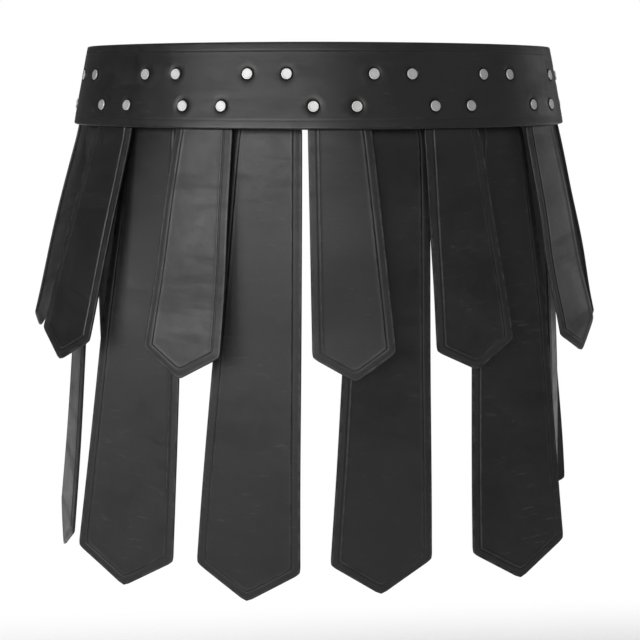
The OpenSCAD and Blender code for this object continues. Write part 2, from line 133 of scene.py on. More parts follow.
def creaseDepth(d, deep):
    # Minus a gaussian groove at the crease distance, plus a gaussian ridge inside it,
    # minus the border's fall towards the edge.
    groove = np.exp(-((d - leather["creaseAt"]) / leather["creaseWide"]) ** 2)
    past = d - leather["creaseAt"] - leather["ridgeAt"]
    groove = groove - leather["ridge"] * np.exp(-(past / leather["ridgeWide"]) ** 2)
    fall = leather["fall"] * np.clip(1 - d / leather["creaseAt"], 0, 1) * smooth(d / leather["round"])
    return -deep * (groove + fall / leather["creaseDeep"])


def meshOf(name, points, faces, attributes=None):
    # Points in mm become a mesh in metres; a row of four whose last corners are the same is a triangle.
    mesh = bpy.data.meshes.new(name)
    rows = [row[:3] if row[2] == row[3] else row for row in np.asarray(faces).tolist()]
    mesh.from_pydata((np.asarray(points) * mm).tolist(), [], rows)
    mesh.update()
    for key, values in (attributes or {}).items():
        kind = "FLOAT_VECTOR" if values.ndim == 2 else "FLOAT"
        layer = mesh.attributes.new(key, kind, "POINT")
        layer.data.foreach_set("vector" if values.ndim == 2 else "value", values.astype(np.float32).ravel())
    mesh.polygons.foreach_set("use_smooth", [True] * len(mesh.polygons))
    piece = bpy.data.objects.new(name, mesh)
    bpy.context.scene.collection.objects.link(piece)
    return piece


def slab(name, x, y, d, place, t, deep, seed, extra=None, fine=1.0, cut=None):
    # Two sheets on one grid, half a thickness each side of the middle, joined at the rim.
    # Cells marked in cut are left out, and a wall of quads joins the sheets round each hole.
    rows, columns = x.shape
    front = np.arange(rows * columns).reshape(rows, columns)
    back = front.copy()
    back[1:-1, 1:-1] = rows * columns + np.arange((rows - 2) * (columns - 2)).reshape(rows - 2, columns - 2)
    half = edgeProfile(d, t)
    high = place(x, y, half + creaseDepth(d * fine, deep) * (d > 0))
    low = place(x, y, -half)[1:-1, 1:-1]
    points = np.vstack([high.reshape(-1, 3), low.reshape(-1, 3)])
    kept = np.ones((rows - 1, columns - 1), bool) if cut is None else ~cut

    def cells(grid, flip):
        # The four corners of each kept cell, in turn one way or the other.
        a, b, c, e = grid[:-1, :-1], grid[:-1, 1:], grid[1:, 1:], grid[1:, :-1]
        order = (a, e, c, b) if flip else (a, b, c, e)
        return np.stack([g[kept] for g in order], -1)

    def wall(here, first, second):
        # Quads from the front sheet to the back one along the marked edges.
        corners = (front[first], front[second], back[second], back[first])
        return np.stack([g[here] for g in corners], -1)

    def both(v):
        # Values of the front sheet's points, then of the back sheet's inner ones.
        return np.concatenate([v.ravel(), v[1:-1, 1:-1].ravel()])
    faces = [cells(front, True), cells(back, False)]
    if cut is not None:
        upper, lower = np.s_[1:-1, :-1], np.s_[1:-1, 1:]
        left, right = np.s_[:-1, 1:-1], np.s_[1:, 1:-1]
        faces.append(wall(kept[:, :-1] & cut[:, 1:], left, right))
        faces.append(wall(cut[:, :-1] & kept[:, 1:], right, left))
        faces.append(wall(kept[:-1] & cut[1:], lower, upper))
        faces.append(wall(cut[:-1] & kept[1:], upper, lower))
    used, faces = np.unique(np.vstack(faces), return_inverse=True)
    faces = faces.reshape(-1, 4)
    side = np.concatenate([np.ones(rows * columns), np.zeros((rows - 2) * (columns - 2))])
    through = side * grainShift["side"] + seed * grainShift["through"]
    hide = np.stack([both(x) * mm + seed * grainShift["along"], both(y) * mm, through], -1)
    attributes = {"edge": both(d) * fine, "side": side, "hide": hide}
    for key, values in (extra or {}).items():
        attributes[key] = both(values)
    return meshOf(name, points[used], faces, {key: values[used] for key, values in attributes.items()})


# The straps

# Width at the hinge and at the point's corners, length to those corners and of the point, thickness,
# depth of the middle behind the band's face, the root's top edge and width in mm; usual hang in degrees.
strapKinds = {
    "short": {"top": 48.0, "low": 65.0, "length": 169.0, "point": 20.0, "thick": 3.0, "depth": 5.4,
              "usual": 12.0, "rootTop": -5.6, "rootWide": 44.0},
    "long": {"top": 55.0, "low": 85.0, "length": 343.0, "point": 27.0, "thick": 3.0, "depth": 12.7,
             "usual": 4.0, "rootTop": 21.0, "rootWide": 45.9},
}
tipWide = 3.0
shallow = 5.4                       # depth of the layer against the band, mm
stepLow, stepHigh = -5.2, 2.8       # heights between which a long strap steps in, mm
stepEase = 1.0                      # how far the step runs on past both, mm
strapShape = {
    "hingeGap": 0.45,      # the hinge lies this and half a thickness below the band's lower edge, mm
    "narrowRun": 9.0,      # run over which a strap takes its root's width, mm
    "rootCorner": 4.0,     # radius of the root's upper corners, mm
    "rowStep": 4.5,        # distance between rows, mm
    "firstRow": 12.0,      # top edge to the first plain row, mm
    "lastRow": 26.0,       # last plain row to the point's corners, mm
    "columns": 15,         # columns of the part between the borders, its two sides included
    "turningRows": 6,      # rows that turn into chevrons, the last straight one included
    "cornerReach": 6.0,    # reach of the rounding at the point's corners, mm
    "cornerIn": 0.75,      # how far a corner moves inwards, mm
    "cornerUp": 0.55,      # how far it moves up, mm
    "bendRun": 14.0,       # run over which the leather bends below the band, mm
    "leanRun": 30.0,       # run over which it comes to lean, mm
    "turnRun": 150.0,      # run over which it comes to turn, mm
    "flatRun": 45.0,       # run over which the band's curve fades out of it, mm
    "warpWide": 30.0,      # distance from the middle at which the crosswise warp is full, mm
    "longest": 420.0,      # length of the table of runs, mm
    "tableRows": 2101,     # places in that table
    "blendFrom": -3.0,     # a point on the strap's middle is found this far above the hinge, and one this far below it, mm
    "blendTo": 6.0,
    "spreadFrom": -3.0,    # run at which a spread starts, mm
    "spreadRun": 6.0,      # run over which it grows, mm
    "spreadEnd": 0.8,      # share of the length by which it has gone
}
# Per strap: sideways shift in mm, added hang, lean and turn in degrees.
shortLay = [(0, 1, 1, 0), (-8, 3.5, -1, 0), (1.5, 5.5, -1.5, 0), (-2, -2, -2.5, -2), (6.5, -8, 3.5, 5),
            (0.5, -8, 6, 14), (9, 0.5, 3, 0), (0, 0, -1, 0), (0, 1, -1, 0)]
longLay = [(-4, -6, 0, 0), (1, 2, -1, 8), (-5, 3, -1, -17), (-1.5, 0.5, -2.2, 1), (-0.5, -1.8, -1.3, 3),
           (10, 2.6, -1.3, 22), (1, -1, 1, -4), (0, 1, -1, 0)]
# Sideways shift of a pair of rivets from its even place, mm.
shortRivetShift = [0, 0, 6, -2.7, 2.7, 0, 9.2, 0, 0]
longRivetShift = [0, 5, 5.5, -0.4, -0.4, -1.2, 1, 0]
# Straps whose leather spreads a little to one side at the top, in mm, to the right or the left.
spreads = {("long", 5): (2.8, 0.0), ("short", 6): (0.0, 1.3)}


def strapGrid(kind, hingeZ, aside, spread=(0.0, 0.0)):
    # Rows run down the strap and turn into chevrons at the point; columns keep their distance
    # from the edge near the rim.
    k, shape = strapKinds[kind], strapShape
    top = -(k["rootTop"] - hingeZ) / math.cos(slope)
    edgeY = -(-oval["height"] / 2 - hingeZ) / math.cos(slope)
    slant = k["point"] / (k["low"] / 2 - tipWide / 2)
    lift = math.hypot(1, slant)

    def halfWidth(y):
        # A straight taper below the hinge, eased into the root's width above it, with rounded corners.
        hanging = k["top"] / 2 + (k["low"] - k["top"]) / 2 * np.clip(y, 0, None) / k["length"]
        narrow = smooth((edgeY - y) / shape["narrowRun"])
        corner = cornerInset(shape["rootCorner"], y - top)
        return hanging + (k["rootWide"] / 2 - hanging) * np.where(y < edgeY, narrow, 0) - corner

    def bottom(x):
        # Run down to the point's edge: full in the middle, less by the slant beyond the blunt tip.
        return k["length"] + k["point"] - slant * np.clip(np.abs(x) - tipWide / 2, 0, None)
    edge = np.array(edgeSteps)
    plain = np.arange(top + shape["firstRow"], k["length"] - shape["lastRow"], shape["rowStep"])
    upper = np.concatenate([top + edge, plain])
    last = k["length"] - edge[-1] * lift
    turning = np.linspace(0, 1, shape["turningRows"])[1:]
    between = upper[-1] + (last - upper[-1]) * turning
    rowSide = np.concatenate([upper, between, k["length"] - edge[-2::-1] * lift])
    rowKind = np.concatenate([0 * upper, turning, np.ones(len(edge) - 1)])
    wide = halfWidth(rowSide)
    inner = np.linspace(-1, 1, shape["columns"])[1:-1]
    rim = wide[:, None] - edge
    x = np.hstack([-rim, (wide[:, None] - edge[-1]) * inner, rim[:, ::-1]])
    chevron = bottom(x) - (k["length"] - rowSide)[:, None]
    y = rowSide[:, None] * (1 - rowKind[:, None]) + chevron * rowKind[:, None]
    d = np.minimum(np.minimum(wide[:, None] - np.abs(x), (bottom(x) - y) / lift), y - top)
    d = np.clip(d, 0, None)
    d[0], d[-1], d[:, 0], d[:, -1] = 0, 0, 0, 0
    share = x / wide[:, None]
    wider = np.clip(share, 0, 1) * spread[0] - np.clip(-share, 0, 1) * spread[1]
    grows = smooth((y - shape["spreadFrom"]) / shape["spreadRun"])
    x = x + wider * grows * (1 - smooth(y / (shape["spreadEnd"] * k["length"])))
    x = x + aside * smooth((edgeY - y) / shape["narrowRun"])
    for side in (-1, 1):
        away = np.hypot(x - side * k["low"] / 2, y - k["length"])
        near = np.clip(1 - away / shape["cornerReach"], 0, 1) ** 2
        x = x - side * shape["cornerIn"] * near
        y = y - shape["cornerUp"] * near
    return x, y, d


def strapPlace(kind, s, hang, lean, turn, wave):
    # The angle eases from the band's slope to the hang; its sine and cosine summed along the run
    # give how far out and how far down the leather is.
    k, shape = strapKinds[kind], strapShape
    hingeZ = -oval["height"] / 2 - k["thick"] / 2 - shape["hingeGap"]
    hang, lean, turn = math.radians(hang), math.radians(lean), math.radians(turn)
    runs = np.linspace(0, shape["longest"], shape["tableRows"])
    angles = slope + (hang - slope) * smooth(runs / shape["bendRun"])
    step = runs[1] - runs[0]
    middles = (angles[1:] + angles[:-1]) / 2
    outRun = np.concatenate([[0], np.cumsum(np.sin(middles) * step)])
    downRun = np.concatenate([[0], np.cumsum(np.cos(middles) * step)])
    facing = float(facingAt(s))
    along = np.array([math.cos(facing), math.sin(facing), 0])

    def place(x, y, h):
        # Lean and turn grow with the run, a sine along it and a square across it warp the leather,
        # and the band's curve fades into a flat strap by an exponential of the run.
        below = np.clip(y, 0, None)
        tilt = lean * np.clip(below / shape["leanRun"], 0, 1)
        yaw = turn * np.clip(below / shape["turnRun"], 0, 1)
        share = below / k["length"]
        lengthwise = wave[0] * share * np.sin(2 * math.pi * (share * wave[1] + wave[2]))
        crosswise = wave[3] * share * (x / shape["warpWide"]) ** 2
        outward = h + (lengthwise + crosswise)
        px = below * math.sin(lean) + x * np.cos(yaw) * np.cos(tilt) - outward * np.sin(yaw)
        py = -x * np.sin(yaw) - outward * np.cos(yaw)
        run = below * math.cos(lean) - x * np.cos(yaw) * np.sin(tilt)
        runClip = np.clip(run, 0, None)
        above = np.minimum(run, 0)
        angle = np.where(y < 0, slope, slope + (hang - slope) * smooth(runClip / shape["bendRun"]))
        hangOut = faceOut(k["depth"], hingeZ) + np.interp(runClip, runs, outRun) + above * np.sin(angle)
        hangZ = hingeZ - np.interp(runClip, runs, downRun) - above * np.cos(angle)
        rootZ = hingeZ - np.clip(y, None, 0) * math.cos(slope)
        depth = k["depth"]
        if kind == "long":
            climb = (rootZ - stepLow + stepEase) / (stepHigh - stepLow + 2 * stepEase)
            depth = depth + (shallow - depth) * smooth(climb)
        rootOut = faceOut(depth, rootZ)
        out = np.where(y < 0, rootOut, hangOut) - py * np.cos(angle)
        z = np.where(y < 0, rootZ, hangZ) - py * np.sin(angle)
        curved = spotAt(s + px, out, z)
        flat = spotAt(s + 0 * px, out, z) + px[..., None] * along
        stay = np.exp(-below / shape["flatRun"])[..., None]
        return curved * stay + flat * (1 - stay)
    return place, hingeZ


def strap(kind, number, s, lay, rivetShift):
    # A slab on the strap's grid, laid by strapPlace; the places of its middle above and below the hinge are
    # found but not used.
    k = strapKinds[kind]
    draw = np.random.default_rng(100 * (kind == "long") + number)
    wave = (draw.uniform(0.6, 1.6), draw.uniform(0.8, 1.6), draw.uniform(0, 1), draw.uniform(-0.9, 0.9))
    place, hingeZ = strapPlace(kind, s + lay[0], k["usual"] + lay[1], lay[2], lay[3], wave)
    x, y, d = strapGrid(kind, hingeZ, rivetShift - lay[0], spreads.get((kind, number), (0.0, 0.0)))
    seed = number + 20 * (kind == "long")
    piece = slab("%sStrap%d" % (kind, number), x, y, d, place, k["thick"], leather["creaseDeep"], seed)
    node = "%s_strap_%d" % (kind, number)
    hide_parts(node, "%s_root_%d" % (kind, number))
    middle = np.array([0.0])
    start = place(middle, np.array([strapShape["blendFrom"]]), middle)[0] * mm
    end = place(middle, np.array([strapShape["blendTo"]]), middle)[0] * mm
    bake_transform(piece)
    return piece


shortPlaces = [(i - 4) * strapPitch for i in range(9)]
longPlaces = [(i - 3.5) * strapPitch for i in range(8)]
straps = [strap("short", i + 1, shortPlaces[i], shortLay[i], shortRivetShift[i]) for i in range(9)]
straps += [strap("long", i + 1, longPlaces[i], longLay[i], longRivetShift[i]) for i in range(8)]
print("straps built:", len(straps))

# The band

rivets = {
    "capWide": 8.0,        # mm
    "shortHalf": 16.0,     # half the distance between the two caps of a short strap, mm
    "longHalf": 15.0,      # the same for a long strap, mm
    "shortZ": -15.0,       # height of the lower row, mm
    "longZ": 8.6,          # height of the upper row, mm
    "tieRise": 16.0,       # height of the closing straps over and under the middle, mm
    "tieFirst": 11.0,      # band end to the nearest rivet of a closing strap, mm
    "tieStep": 17.0,       # between its two rivets, mm
}
shortSpots = [(s + shift + e * rivets["shortHalf"], rivets["shortZ"])
              for s, shift in zip(shortPlaces, shortRivetShift) for e in (-1, 1)]
longSpots = [(s + shift + e * rivets["longHalf"], rivets["longZ"])
             for s, shift in zip(longPlaces, longRivetShift) for e in (-1, 1)]

dimple = {
    "deep": 0.75,        # how far the leather is drawn in round a cap, mm
    "wide": 5.6,         # reach of the drawn-in leather, mm
    "gap": 0.6,          # depth of the narrow gap at the cap's rim, mm
    "gapIn": 0.3,        # the gap starts to close this far inside the dark ring, mm
    "gapRun": 0.8,       # run over which it closes, mm
    "rise": 0.14,        # low swelling round the drawn-in leather, mm
    "riseAt": 8.2,       # distance of the swelling from the cap's middle, mm
    "riseWide": 2.2,     # half width of the swelling, mm
    "ring": 4.8,         # outer radius of the ring of painted shade round a cap, mm
}
bandGrid = {
    "reach": 5.8,          # reach of the fine lines round a cap, mm
    "fineAlong": 0.85,     # line distances near a cap and elsewhere, mm
    "coarseAlong": 5.0,
    "fineUp": 0.9,
    "coarseUp": 4.0,
    "crease": 0.12,        # depth of the band's creased line, mm
    "seed": 3,
}
farAway = 99.0    # stands for no cap or hole near by, mm


def refined(low, high, spots, reach, fine, coarse):
    # Places from low to high: fine steps within reach of a spot, coarse steps elsewhere, none past high.
    places = [low]
    while places[-1] < high - fine:
        away = np.abs(np.asarray(spots) - places[-1]).min()
        step = fine if away < reach else min(coarse, max(fine, away - reach))
        places.append(min(high, places[-1] + step))
    return np.array(places)


def band():
    # A grid of arc length and height, with finer lines at the caps; the height is cut to a quarter
    # circle at the band's end corners.
    edge, grid = np.array(edgeSteps), bandGrid
    inside = bandEnd - edge[-1]
    places = [s for s, z in shortSpots + longSpots]
    along = refined(-inside + 1, inside - 1, places, grid["reach"], grid["fineAlong"], grid["coarseAlong"])
    s = np.concatenate([-(bandEnd - edge), along, (bandEnd - edge)[::-1]])
    fromEnd = bandEnd - np.abs(s)
    limit = oval["height"] / 2 - cornerInset(oval["endCorner"], fromEnd)
    inside = oval["height"] / 2 - edge[-1]
    levels = [rivets["shortZ"], rivets["longZ"]]
    across = refined(-inside + 1, inside - 1, levels, grid["reach"], grid["fineUp"], grid["coarseUp"])
    across = across / inside
    rim = limit[:, None] - edge
    z = np.hstack([-rim, (limit[:, None] - edge[-1]) * across, rim[:, ::-1]])
    x = np.repeat(s[:, None], z.shape[1], 1)
    d = np.minimum(limit[:, None] - np.abs(z), fromEnd[:, None])
    d = np.clip(d, 0, None)
    d[0], d[-1], d[:, 0], d[:, -1] = 0, 0, 0, 0
    near = np.full(x.shape, farAway)
    for px, pz in shortSpots + longSpots:
        near = np.minimum(near, np.hypot(x - px, (z - pz) / math.cos(slope)))

    def place(x, y, h):
        # Round a cap the outer face goes in by a gaussian and by the gap, and out by a ring of gaussian.
        pull = dimple["deep"] * np.exp(-(near / dimple["wide"]) ** 2)
        pull = pull - dimple["rise"] * np.exp(-((near - dimple["riseAt"]) / dimple["riseWide"]) ** 2)
        closed = smooth((near - dimple["ring"] + dimple["gapIn"]) / dimple["gapRun"])
        high = h - (pull + dimple["gap"] * (1 - closed)) * (h > 0)
        out = faceOut(oval["thickness"] / 2, y) + high * math.cos(slope)
        return spotAt(x, out, y + high * math.sin(slope))
    piece = slab("waistBand", x, z, d, place, oval["thickness"], grid["crease"], grid["seed"],
                 {"rivet": near})
    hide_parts("band")
    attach(piece, "belt")
    return piece


waistBand = band()
print("band built")

# Rivet caps

capShape = {
    "thick": 1.3,      # top of the cap above the leather, mm
    "lip": 0.09,       # how far the flat middle lies below the rim, mm
    "corner": 0.45,    # radius of the cap's rim, mm
    "groove": 0.76,    # radius at which the middle steps up to the rim, as a share of the cap's
    "around": 40,      # points round the cap
    "foot": [(0.0, 0.2), (0.2, 0.0), (1.2, -0.1)],    # insets and heights under the rim, mm
}
# Height of a cap's foot over the band's outer face, mm.
capLift = {"band": -0.25, "chape": 4.3, "billet": 2.65}


def capFrame(s, z, lift):
    # Local frame of a rivet on the sloped face: along, out and up as unit vectors.
    angle = float(facingAt(s))
    along = np.array([math.cos(angle), math.sin(angle), 0])
    outward = np.array([math.sin(angle), -math.cos(angle), 0])
    out = outward * math.cos(slope) + np.array([0, 0, math.sin(slope)])
    up = -outward * math.sin(slope) + np.array([0, 0, math.cos(slope)])
    return spotAt(s, faceOut(0, z), z) + out * lift, along, out, up


def caps(name, node, spots):
    # A profile of radius and height turned round each cap's middle, with a point at both poles.
    r, rim, lip, thick = rivets["capWide"] / 2, capShape["corner"], capShape["lip"], capShape["thick"]
    turns = np.linspace(0, math.pi / 2, 6)
    flat = np.array([0.3, 0.55, 0.7, capShape["groove"], 0.82]) * r
    foot = np.array(capShape["foot"])
    reach = np.concatenate([flat, r - rim + rim * np.sin(turns), r - foot[:, 0]])
    rising = [thick - 0.8 * lip, thick]
    high = np.concatenate([[thick - lip] * 3, rising, thick - rim + rim * np.cos(turns), foot[:, 1]])
    n, rings = capShape["around"], len(reach)
    around = np.linspace(0, 2 * math.pi, n, endpoint=False)
    step = np.arange(n)
    beside = (step + 1) % n
    inner = 1 + np.arange(rings - 1)[:, None] * n
    quads = np.stack([inner + step, inner + n + step, inner + n + beside, inner + beside], -1).reshape(-1, 4)
    last = 1 + (rings - 1) * n
    top = np.stack([0 * step, 1 + step, 1 + beside, 1 + beside], -1)
    bottom = np.stack([0 * step + 1 + rings * n, last + beside, last + step, last + step], -1)
    points, faces = [], []
    for number, (s, z, lift) in enumerate(spots):
        origin, along, out, up = capFrame(s, z, lift)
        spread = (along * np.cos(around)[:, None] + up * np.sin(around)[:, None])[None] * reach[:, None, None]
        body = origin + spread + out * high[:, None, None]
        ends = origin + out * np.array([[thick - lip], [foot[-1, 1]]])
        points.append(np.vstack([ends[:1], body.reshape(-1, 3), ends[1:]]))
        faces.append(np.vstack([quads, top, bottom]) + number * (2 + rings * n))
    ring = np.tile(np.concatenate([[0], np.repeat(reach, n), [0]]), len(spots))
    piece = meshOf(name, np.vstack(points), np.vstack(faces), {"ring": ring})
    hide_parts(node)
    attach(piece, "belt")
    return piece


tieSpots = [(bandEnd - rivets["tieFirst"] - j * rivets["tieStep"], up * rivets["tieRise"])
            for up in (-1, 1) for j in (0, 1)]
farEnd = 2 * halfLength - bandEnd
billetSpots = [(farEnd + bandEnd - s, z) for s, z in tieSpots]
closingSpots = [(s, z, capLift["chape"]) for s, z in tieSpots]
closingSpots += [(s, z, capLift["billet"]) for s, z in billetSpots]
capPieces = [
    caps("shortCaps", "short_rivet_caps", [(s, z, capLift["band"]) for s, z in shortSpots]),
    caps("longCaps", "long_rivet_caps", [(s, z, capLift["band"]) for s, z in longSpots]),
    caps("closingCaps", "closing_rivet_caps", closingSpots),
]
print("caps built")

# The closing straps at the back: billets, folded chapes and keeper loops

closing = {
    "wide": 20.0,           # strap width, mm, as all sizes here
    "lap": 40.0,            # how far a strap lies over the band's end
    "billetThick": 2.5,
    "billetRest": 0.3,      # height of the billet over the band's far end
    "overChape": 6.0,       # height of the billet over the chape
    "lineStart": 11.0,      # far band end to where the billet leaves it
    "bend": 25.0,           # radius of the billet's bend
    "tail": 78.0,           # buckle's rear bar to the billet's tip
    "tipWide": 9.3,
    "billetCorner": 2.5,
    "holeStep": 22.0,
    "holeReach": 11.4,      # bar to the hole in use
    "holeLong": 8.0,
    "holeAside": 0.7,       # how far the holes lie above the billet's middle
    "plyThick": 2.0,        # each of the chape's two plies
    "plyGap": 0.2,
    "chapeCorner": 1.5,
    "barReach": 24.0,       # band end to the bar
    "barLevel": 0.8,        # height of the bar above the band's outer face
    "loopRadius": 2.7,      # middle of the ply round the bar
    "loopIn": 0.85,         # how much narrower each side is round the bar
    "loopLevel": 3.9,       # height at which the slope leaves the loop in its place
    "slotReach": 5.4,       # bar to the slot's end
    "slotWide": 4.0,
    "keeperReach": 6.5,     # band end to the keeper's middle
    "keeperWide": 8.0,
    "keeperThick": 1.6,
    "keeperLow": -0.06,     # heights of the loop's inner faces
    "keeperHigh": 8.65,
    "keeperInside": 23.0,
    "keeperCorner": 2.2,
    "keeperSeam": 0.05,     # half the gap between the loop's ends
    "keeperDrop": 0.92,     # how far the loop lies below the strap's middle
    "fine": 2.2,            # the creased line lies this many times nearer to the edge than on the straps
    "groove": 0.2,          # depth of that line
}
tieGrid = {
    "fine": 0.8,            # line distances at a hole and elsewhere, mm
    "coarse": 2.2,
    "beside": 2.4,          # how far the fine lines run on past a hole, mm
    "core": 0.35,           # share of the columns that keeps the slot's width
    "coreStep": 0.12,       # steps of that share inside the core and beside it
    "sideStep": 0.25,
    "holeFade": 1.7,        # a hole's rounding fades out at this many times its size
    "rimFall": 0.3,         # how far a hole's rim is rounded over, mm
    "rimRun": 0.7,          # run over which it is, mm
    "rimDark": 3.0,         # the painted shade line at a hole's rim is this many times thinner than the painted shade ring round a cap
    "capPull": 0.3,         # how far the leather is drawn in round a cap, mm
    "capReach": 5.2,
    "keeperStep": 0.4,      # rows of the keeper loops, mm
}
chapeShape = {
    "loopFrom": 90,         # degrees round the bar
    "loopTo": -115,
    "loopPoints": 30,
    "innerStart": 10.5,     # bar to where the inner ply is straight, mm
    "rows": 420,
    "outerRows": 150,       # rows that lie on the outer ply, and the first row on the inner one
    "innerRow": 260,
    "smoothOver": 7,        # rows of the moving mean
    "easeFrom": 13.0,       # bar to where the loop's narrowing starts, mm
    "easeRun": 8.0,
}
# Distances from the edge at which a closing strap has lines, mm.
tieEdge = np.array([0, 0.2, 0.5, 0.9, 1.5, 2.4, 2.8, 3.0, 3.2, 3.6, 4.3])
# How far a slot shifts up for each mm outwards.
closePitch = math.sin(slope) * math.cos(slope)
barPlace = bandEnd + closing["barReach"]


def roundedHole(x, y, spots, halfLong, halfWide):
    # Grid points move along their ray from the hole's middle, so that its box edge becomes a slot
    # with round ends; the move fades out further off.
    fade = tieGrid["holeFade"]
    cut = np.zeros((x.shape[0] - 1, x.shape[1] - 1), bool)
    rim = np.full(x.shape, farAway)
    middleX = (x[:-1, :-1] + x[1:, 1:]) / 2
    middleY = (y[:-1, :-1] + y[1:, 1:]) / 2
    newX, newY = x.copy(), y.copy()
    for px, py in spots:
        cut |= (np.abs(middleX - px) < halfLong) & (np.abs(middleY - py) < halfWide)
        dx, dy = x - px, y - py
        norm = np.maximum(np.abs(dx) / halfLong, np.abs(dy) / halfWide)
        far = np.hypot(dx, dy) / np.maximum(norm, 1e-9)
        turn = np.arctan2(np.abs(dy), np.abs(dx))
        # ray from the middle to the straight side, or to the end circle of radius halfWide
        shift = halfLong - halfWide
        straight = halfWide / np.maximum(np.sin(turn), 1e-9)
        root = np.clip(halfWide ** 2 - (shift * np.sin(turn)) ** 2, 0, None)
        circle = shift * np.cos(turn) + np.sqrt(root)
        reach = np.where(straight * np.cos(turn) <= shift, straight, circle)
        share = (reach / np.maximum(far, 1e-9) - 1) * np.clip((fade - norm) / (fade - 1), 0, 1)
        moved = (norm > 0.5) & (norm < fade)
        newX = np.where(moved, newX + dx * share, newX)
        newY = np.where(moved, newY + dy * share, newY)
        rim = np.minimum(rim, np.where(norm < fade, (norm - 1) * halfWide, farAway))
    return newX, newY, cut, np.clip(rim, 0, None)


def spaced(low, high, marks, fine, coarse):
    # Places from low to high: even steps in each stretch between marks, fine where a stretch is marked.
    stops = sorted({low, high, *[m for pair in marks for m in pair]})
    places = []
    for a, b in zip(stops[:-1], stops[1:]):
        isFine = any(m0 - 0.01 <= a and b <= m1 + 0.01 for m0, m1 in marks)
        count = max(1, math.ceil((b - a) / (fine if isFine else coarse)))
        places += list(np.linspace(a, b, count, endpoint=False))
    return np.array(places + [high])


def tieStrip(name, node, length, limit, place, thick, holes, holeLong, seed, caps):
    # A strip from 0 to length: rows along it, columns at set distances from its edges. The middle
    # columns keep the slot's width whatever the strip's own width is.
    edge, grid, core = tieEdge, tieGrid, tieGrid["core"]
    half = closing["slotWide"] / 2
    marks = [(h - holeLong / 2, h + holeLong / 2) for h, v in holes]
    marks += [(a - grid["beside"], a) for a, b in marks] + [(b, b + grid["beside"]) for a, b in marks]
    inside = spaced(edge[-1] + 1, length - edge[-1] - 1, marks, grid["fine"], grid["coarse"])
    x = np.concatenate([edge, inside, (length - edge)[::-1]])
    wide = limit(x)
    share = spaced(-1.0, 1.0, [(-core, core)], grid["coreStep"], grid["sideStep"])[1:-1]
    kept = np.clip(share / core, -1, 1) * half + holes[0][1]
    rest = np.clip((np.abs(share) - core) / (1 - core), 0, 1)
    middle = kept * (1 - rest) + np.sign(share) * (wide[:, None] - edge[-1]) * rest
    border = wide[:, None] - edge
    y = np.hstack([-border, middle, border[:, ::-1]])
    x = np.repeat(x[:, None], y.shape[1], 1)
    d = np.clip(np.minimum(wide[:, None] - np.abs(y), np.minimum(x, length - x)), 0, None)
    d[0], d[-1], d[:, 0], d[:, -1] = 0, 0, 0, 0
    x, y, cut, rim = roundedHole(x, y, holes, holeLong / 2, half)
    near = np.full(x.shape, farAway)
    for px, py in caps:
        near = np.minimum(near, np.hypot(x - px, y - py))
    pull = grid["capPull"] * np.exp(-(near / grid["capReach"]) ** 2)
    fall = grid["rimFall"] * (1 - smooth(rim / grid["rimRun"]))

    def shaped(x, y, h):
        # Drawn in round a cap, and rounded over at a hole's rim.
        return place(x, y, h - pull * (h > 0) - fall * np.sign(h))
    # Distance for the painted shade: a ring round each cap and a thinner line along each hole's rim.
    dark = np.minimum(near, rim * grid["rimDark"] + dimple["ring"] - dimple["gapIn"])
    piece = slab(name, x, y, d, shaped, thick, closing["groove"], seed, {"rivet": dark},
                 fine=closing["fine"], cut=cut)
    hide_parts(node)
    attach(piece, "belt")
    return piece


def billetLevel(s):
    # Height above the band: along the band end, a straight line off it, a bend, then over the chape.
    near = oval["frontRadius"] + closing["billetRest"]
    far = oval["frontRadius"] + closing["overChape"]
    bend = closing["bend"]
    lineEnd = math.sqrt((far - bend) ** 2 - (near - bend) ** 2)
    turn = (farEnd - closing["lineStart"] - s) / oval["frontRadius"]
    straight = near / np.cos(np.clip(turn, 0, 0.5))
    away = math.atan2(lineEnd, near - bend) - np.clip(turn, 0, None)
    root = np.clip(bend ** 2 - ((far - bend) * np.sin(away)) ** 2, 0, None)
    curved = (far - bend) * np.cos(away) + np.sqrt(root)
    onLine = turn < math.atan2(lineEnd, near)
    radius = np.where(turn < 0, near, np.where(onLine, straight, np.where(away > 0, curved, far)))
    return radius - oval["frontRadius"]


def billet(up, word):
    # A strip along the band's arc, with prong holes at even steps from the one in use.
    start = barPlace - closing["tail"]
    length = farEnd + closing["lap"] - start
    thick = closing["billetThick"]

    def limit(x):
        # Half width: growing with the run from the tip's, held to the strap's with its end corners.
        tip = closing["tipWide"] / 2 + np.clip(x, 0, None)
        end = closing["wide"] / 2 - cornerInset(closing["billetCorner"], length - x)
        return np.minimum(tip, end)

    def place(x, y, h):
        # Along the band by the run, outwards by the billet's level and half its thickness.
        s = start + x
        z = up * rivets["tieRise"] + y * math.cos(slope)
        return spotAt(s, faceOut(0, z) + billetLevel(s) + thick / 2 + h, z)
    inUse = barPlace + closing["holeReach"] - start
    holes = [(inUse - j * closing["holeStep"], closing["holeAside"]) for j in range(-1, 4)]
    spots = [(s - start, 0.0) for s, z in billetSpots if z * up > 0]
    return tieStrip(word + "Billet", word + "_billet", length, limit, place, thick, holes,
                    closing["holeLong"], 41 + up, spots)


